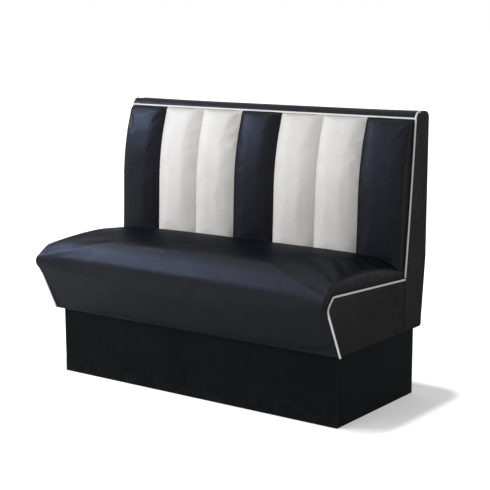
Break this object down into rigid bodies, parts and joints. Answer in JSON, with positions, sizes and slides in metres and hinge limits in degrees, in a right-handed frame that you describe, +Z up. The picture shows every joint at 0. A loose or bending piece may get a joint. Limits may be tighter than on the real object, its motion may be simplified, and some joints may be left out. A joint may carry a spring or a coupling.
{
  "type": "restaurant booth seating",
  "caption": "Upholstered diner booth bench: boxed plinth, domed seat with a chamfered nose, and a channelled back with contrast piping.",
  "frame": {"origin": "on the floor, under the centre of the bench's bounding box", "axes": "+X along the bench to the right of someone facing it, +Y from the front to the rear, +Z up"},
  "size_m": [1.2, 0.623, 0.955],
  "materials": {
    "plinth_laminate": "matt black laminate on board",
    "frame_wood": "bare plywood and pine",
    "black_vinyl": "satin grained upholstery vinyl",
    "navy_vinyl": "satin grained upholstery vinyl",
    "cream_vinyl": "satin grained upholstery vinyl",
    "white_piping": "smooth vinyl piping",
    "foam": "open-cell polyurethane foam",
    "webbing": "elastic upholstery webbing",
    "felt": "needled felt",
    "dust_cloth": "black spun-bonded cloth",
    "zinc_steel": "zinc plated"
  },
  "bodies": {
    "root": {"plinth_front_panel": "plinth_laminate", "plinth_rear_panel": "plinth_laminate", "plinth_left_panel": "plinth_laminate", "plinth_right_panel": "plinth_laminate", "plinth_cross_rail": "frame_wood", "plinth_corner_blocks": "frame_wood", "plinth_brackets": "zinc_steel", "bracket_screws": "zinc_steel", "joining_bolts": "zinc_steel", "joining_washers": "zinc_steel", "joining_nuts": "zinc_steel", "seat_left_board": "frame_wood", "seat_right_board": "frame_wood", "seat_front_rail": "frame_wood", "seat_rear_rail": "frame_wood", "seat_left_rib": "frame_wood", "seat_right_rib": "frame_wood", "seat_corner_blocks": "frame_wood", "seat_webbing_front_to_rear": "webbing", "seat_webbing_side_to_side": "webbing", "seat_felt": "felt", "seat_dust_cloth": "dust_cloth", "back_dust_cloth": "dust_cloth", "seat_foam": "foam", "seat_cover": "navy_vinyl", "seat_left_panel": "black_vinyl", "back_left_panel": "black_vinyl", "seat_left_piping": "white_piping", "back_left_piping": "white_piping", "back_left_board": "frame_wood", "back_left_upright": "frame_wood", "seat_right_panel": "black_vinyl", "back_right_panel": "black_vinyl", "seat_right_piping": "white_piping", "back_right_piping": "white_piping", "back_right_board": "frame_wood", "back_right_upright": "frame_wood", "back_top_rail": "frame_wood", "back_bottom_rail": "frame_wood", "back_facing": "frame_wood", "back_rear_board": "frame_wood", "back_head_cover": "navy_vinyl", "back_head_padding": "foam", "back_rear_padding": "foam", "back_rear_cover": "black_vinyl", "back_top_piping": "white_piping", "channel_1_foam": "foam", "channel_1_cover": "navy_vinyl", "channel_2_foam": "foam", "channel_2_cover": "cream_vinyl", "channel_3_foam": "foam", "channel_3_cover": "cream_vinyl", "channel_4_foam": "foam", "channel_4_cover": "navy_vinyl", "channel_5_foam": "foam", "channel_5_cover": "cream_vinyl", "channel_6_foam": "foam", "channel_6_cover": "cream_vinyl", "channel_7_foam": "foam", "channel_7_cover": "navy_vinyl"}
  },
  "joints": []
}
